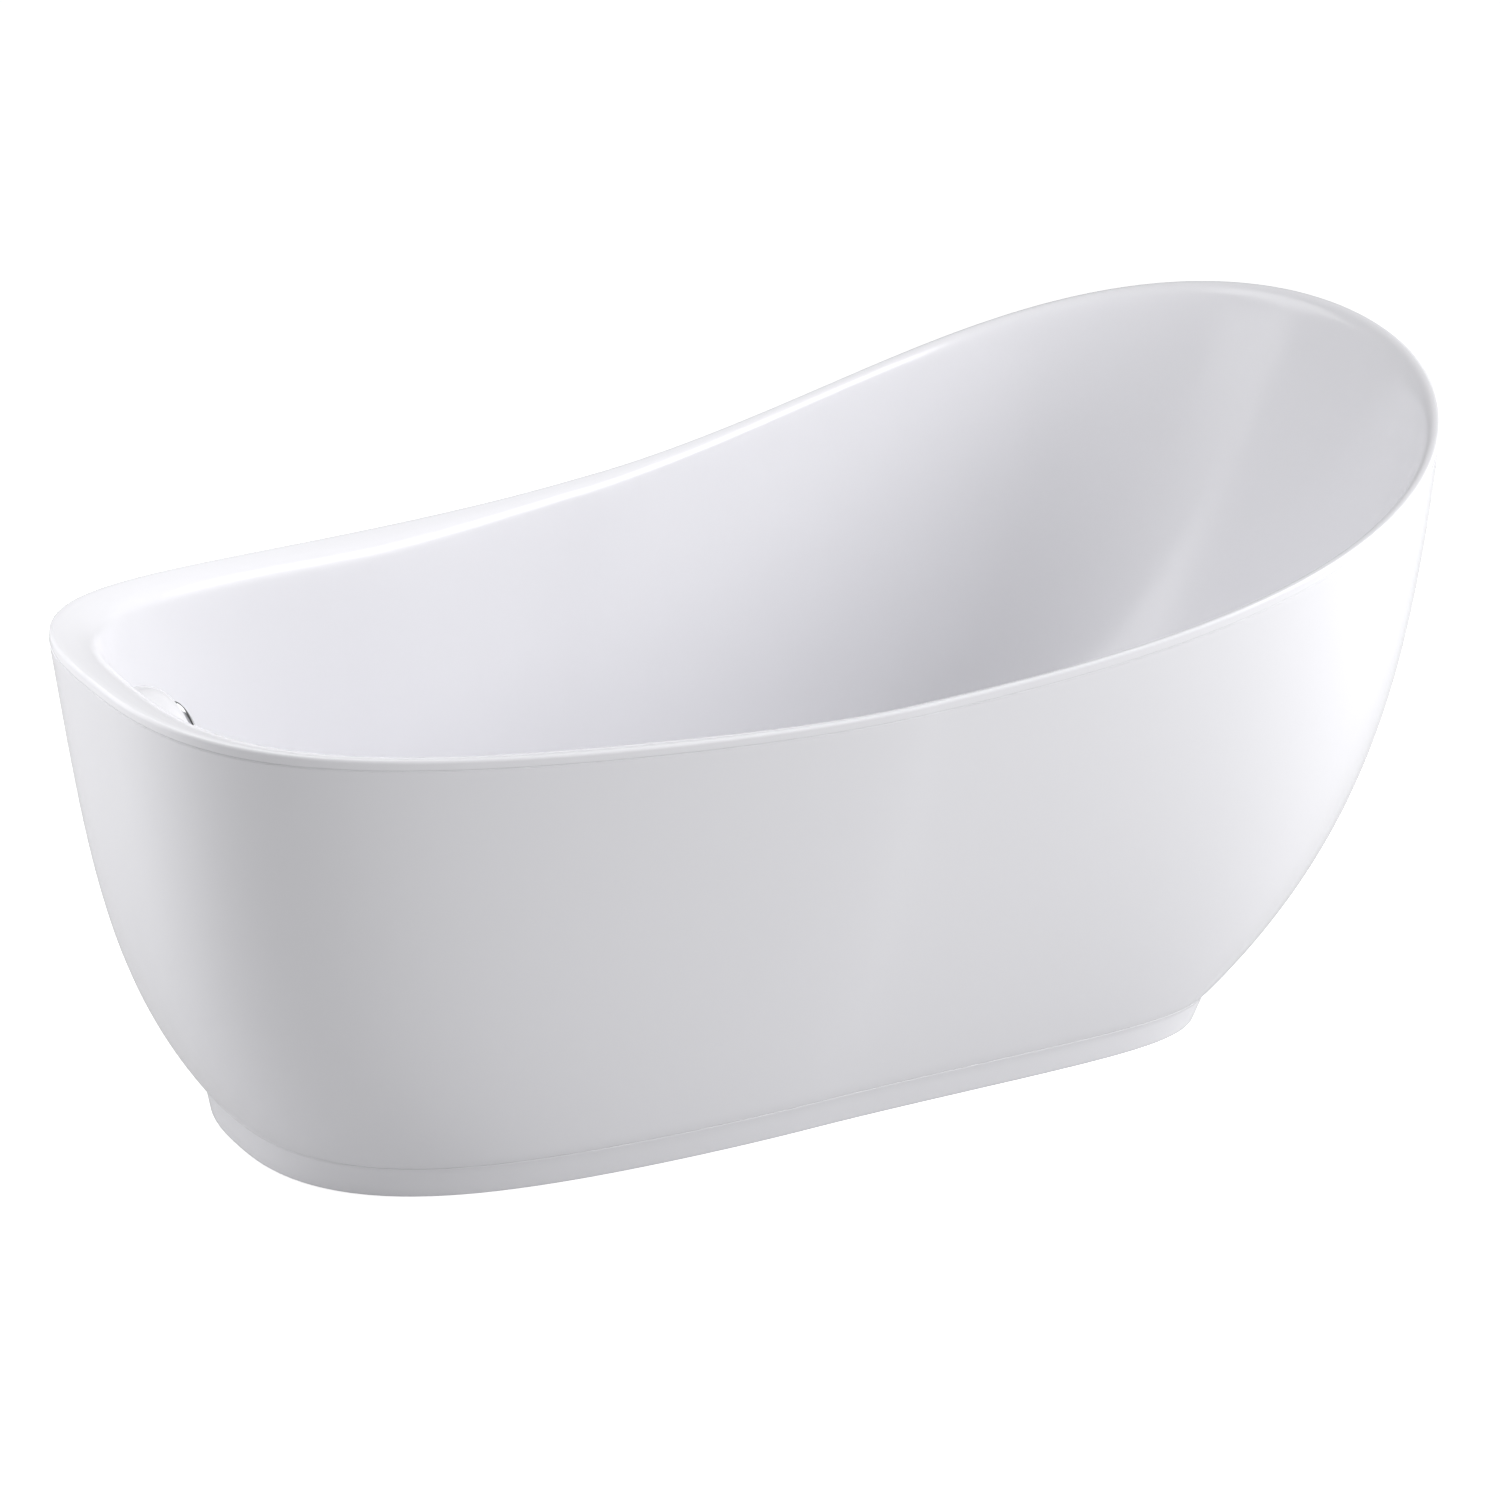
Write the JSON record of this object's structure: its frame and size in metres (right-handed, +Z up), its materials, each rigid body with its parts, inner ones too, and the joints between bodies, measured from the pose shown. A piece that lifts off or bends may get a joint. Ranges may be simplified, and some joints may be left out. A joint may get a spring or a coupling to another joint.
{
  "type": "freestanding bathtub",
  "caption": "Freestanding slipper bathtub with a raised backrest, two glossy shells, overflow, pop-up plug, steel frame and levelling feet.",
  "frame": {"origin": "on the floor, under the middle of the rim's plan", "axes": "+X towards the high backrest end, +Y across the tub, +Z up"},
  "size_m": [1.8099, 0.7746, 0.795],
  "materials": {
    "acrylic": "polished white",
    "bond": "cured adhesive",
    "chrome": "mirror",
    "rubber": "matt",
    "pipework": "satin moulded",
    "frame_steel": "powder coat",
    "zinc_steel": "zinc plated",
    "board": "raw chipboard"
  },
  "bodies": {
    "tub": {"basin": "acrylic", "outer_skirt": "acrylic", "plinth_band": "acrylic", "rim_bond": "bond", "overflow_cover": "chrome", "overflow_screw": "chrome", "overflow_gasket": "rubber", "overflow_elbow": "pipework", "overflow_pipe": "pipework", "overflow_nut_upper": "pipework", "overflow_nut_lower": "pipework", "waste_flange": "chrome", "flange_gasket": "rubber", "waste_gasket": "rubber", "waste_lock_nut": "pipework", "waste_tee": "pipework", "outlet_pipe": "pipework", "outlet_nut": "pipework", "base_board": "board", "frame_rail_near": "frame_steel", "frame_rail_far": "frame_steel", "cross_member_foot": "frame_steel", "cross_member_middle": "frame_steel", "cross_member_head": "frame_steel", "plinth_brackets": "zinc_steel", "bracket_screws": "zinc_steel", "board_screws": "zinc_steel", "cross_bolts": "zinc_steel", "foot_weld_nuts": "zinc_steel", "foot_lock_nuts": "zinc_steel"},
    "plug": {"plug_cap": "chrome", "plug_seal": "rubber", "plug_stem": "zinc_steel"},
    "foot_1": {"foot_pad_1": "rubber", "foot_stud_1": "zinc_steel"},
    "foot_2": {"foot_pad_2": "rubber", "foot_stud_2": "zinc_steel"},
    "foot_3": {"foot_pad_3": "rubber", "foot_stud_3": "zinc_steel"},
    "foot_4": {"foot_pad_4": "rubber", "foot_stud_4": "zinc_steel"},
    "foot_5": {"foot_pad_5": "rubber", "foot_stud_5": "zinc_steel"}
  },
  "joints": [
    {"name": "plug_lift", "type": "slide", "parent": "tub", "child": "plug", "axis": [0, 0, 1], "range_m": [0, 0.009]},
    {"name": "foot_1_screw", "type": "slide", "parent": "tub", "child": "foot_1", "axis": [0, 0, 1], "range_m": [-0.008, 0.008]},
    {"name": "foot_2_screw", "type": "slide", "parent": "tub", "child": "foot_2", "axis": [0, 0, 1], "range_m": [-0.008, 0.008]},
    {"name": "foot_3_screw", "type": "slide", "parent": "tub", "child": "foot_3", "axis": [0, 0, 1], "range_m": [-0.008, 0.008]},
    {"name": "foot_4_screw", "type": "slide", "parent": "tub", "child": "foot_4", "axis": [0, 0, 1], "range_m": [-0.008, 0.008]},
    {"name": "foot_5_screw", "type": "slide", "parent": "tub", "child": "foot_5", "axis": [0, 0, 1], "range_m": [-0.008, 0.008]}
  ]
}
